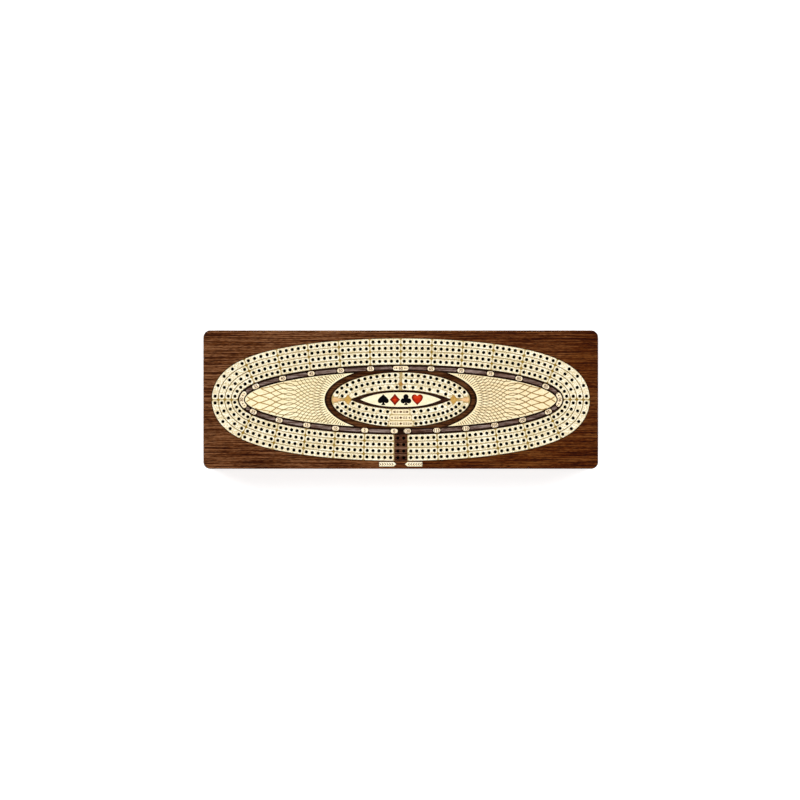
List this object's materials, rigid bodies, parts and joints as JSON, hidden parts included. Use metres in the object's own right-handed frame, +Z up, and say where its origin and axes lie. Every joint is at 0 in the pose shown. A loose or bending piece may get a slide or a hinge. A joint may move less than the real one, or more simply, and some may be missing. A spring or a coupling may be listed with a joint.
{
  "type": "cribbage board box",
  "caption": "Long wooden box whose sliding lid is an oval-track cribbage board with inlaid scoring panels; storage for cards and pegs inside.",
  "frame": {"origin": "centre of the footprint, on the table under the pads", "axes": "+X along the length, the way the lid slides off; +Y away from the player; +Z up"},
  "size_m": [0.368, 0.129, 0.05],
  "materials": {
    "wenge": "satin oil, fine lengthwise streaks",
    "maple": "satin lacquer, burnt engraved lines",
    "engraved_maple": "satin lacquer, engraved guilloche lines",
    "tinted_maple": "satin lacquer",
    "golden_wood": "satin lacquer",
    "tan_wood": "satin lacquer",
    "grey_purple_wood": "satin lacquer",
    "purple_brown_wood": "satin lacquer",
    "dark_wood": "satin lacquer",
    "black_inlay": "satin",
    "red_inlay": "satin",
    "runner_maple": "waxed",
    "brass": "turned",
    "nickel": "plated",
    "floor_birch": "plain",
    "rubber_pad": "matte",
    "insert_maple": "satin",
    "green_felt": "napped",
    "cards": "linen finish",
    "peg_gold": "polished",
    "peg_silver": "polished",
    "peg_black": "gloss black",
    "peg_copper": "polished copper"
  },
  "bodies": {
    "box": {"side_wall_front": "wenge", "side_wall_back": "wenge", "end_wall_left": "wenge", "end_wall_right": "wenge", "floor_panel": "floor_birch", "corner_pads": "rubber_pad", "divider_left": "insert_maple", "divider_middle": "insert_maple", "divider_right": "insert_maple", "felt_liner_left": "green_felt", "felt_liner_right": "green_felt", "peg_rack_left": "insert_maple", "peg_rack_right": "insert_maple", "wall_magnets": "nickel"},
    "lid": {"playing_board": "wenge", "centre_panel": "dark_wood", "track_inlay": "maple", "start_block": "purple_brown_wood", "number_markers": "maple", "corner_markers": "maple", "band_strips": "grey_purple_wood", "guilloche_panel_left": "engraved_maple", "guilloche_panel_right": "engraved_maple", "score_oval": "maple", "gold_inlays": "golden_wood", "oval_tip_inlays": "tan_wood", "score_plaques": "tinted_maple", "eye_frame": "dark_wood", "eye_inlay": "maple", "spade_inlay": "black_inlay", "diamond_inlay": "red_inlay", "club_inlay": "black_inlay", "heart_inlay": "red_inlay", "start_plate": "maple", "finish_plate": "maple", "lid_runner_front": "runner_maple", "lid_runner_back": "runner_maple", "runner_screws": "brass", "lid_pull_strip": "wenge", "lid_magnets": "nickel"},
    "deck_left": {"card_deck_left": "cards"},
    "deck_right": {"card_deck_right": "cards"},
    "gold_peg_1": {"peg_gold_1": "peg_gold"},
    "gold_peg_2": {"peg_gold_2": "peg_gold"},
    "gold_peg_3": {"peg_gold_3": "peg_gold"},
    "silver_peg_1": {"peg_silver_1": "peg_silver"},
    "silver_peg_2": {"peg_silver_2": "peg_silver"},
    "silver_peg_3": {"peg_silver_3": "peg_silver"},
    "black_peg_1": {"peg_black_1": "peg_black"},
    "black_peg_2": {"peg_black_2": "peg_black"},
    "black_peg_3": {"peg_black_3": "peg_black"},
    "copper_peg_1": {"peg_copper_1": "peg_copper"},
    "copper_peg_2": {"peg_copper_2": "peg_copper"},
    "copper_peg_3": {"peg_copper_3": "peg_copper"}
  },
  "joints": [
    {"name": "lid_slide", "type": "slide", "parent": "box", "child": "lid", "axis": [1, 0, 0], "range_m": [0, 0.35]},
    {"name": "deck_left_lift", "type": "slide", "parent": "box", "child": "deck_left", "axis": [0, 0, 1], "range_m": [0, 0.01]},
    {"name": "deck_right_lift", "type": "slide", "parent": "box", "child": "deck_right", "axis": [0, 0, 1], "range_m": [0, 0.01]},
    {"name": "gold_peg_1_lift", "type": "slide", "parent": "box", "child": "gold_peg_1", "axis": [0, 0, 1], "range_m": [0, 0.014]},
    {"name": "gold_peg_2_lift", "type": "slide", "parent": "box", "child": "gold_peg_2", "axis": [0, 0, 1], "range_m": [0, 0.014]},
    {"name": "gold_peg_3_lift", "type": "slide", "parent": "box", "child": "gold_peg_3", "axis": [0, 0, 1], "range_m": [0, 0.014]},
    {"name": "silver_peg_1_lift", "type": "slide", "parent": "box", "child": "silver_peg_1", "axis": [0, 0, 1], "range_m": [0, 0.014]},
    {"name": "silver_peg_2_lift", "type": "slide", "parent": "box", "child": "silver_peg_2", "axis": [0, 0, 1], "range_m": [0, 0.014]},
    {"name": "silver_peg_3_lift", "type": "slide", "parent": "box", "child": "silver_peg_3", "axis": [0, 0, 1], "range_m": [0, 0.014]},
    {"name": "black_peg_1_lift", "type": "slide", "parent": "box", "child": "black_peg_1", "axis": [0, 0, 1], "range_m": [0, 0.014]},
    {"name": "black_peg_2_lift", "type": "slide", "parent": "box", "child": "black_peg_2", "axis": [0, 0, 1], "range_m": [0, 0.014]},
    {"name": "black_peg_3_lift", "type": "slide", "parent": "box", "child": "black_peg_3", "axis": [0, 0, 1], "range_m": [0, 0.014]},
    {"name": "copper_peg_1_lift", "type": "slide", "parent": "box", "child": "copper_peg_1", "axis": [0, 0, 1], "range_m": [0, 0.014]},
    {"name": "copper_peg_2_lift", "type": "slide", "parent": "box", "child": "copper_peg_2", "axis": [0, 0, 1], "range_m": [0, 0.014]},
    {"name": "copper_peg_3_lift", "type": "slide", "parent": "box", "child": "copper_peg_3", "axis": [0, 0, 1], "range_m": [0, 0.014]}
  ]
}
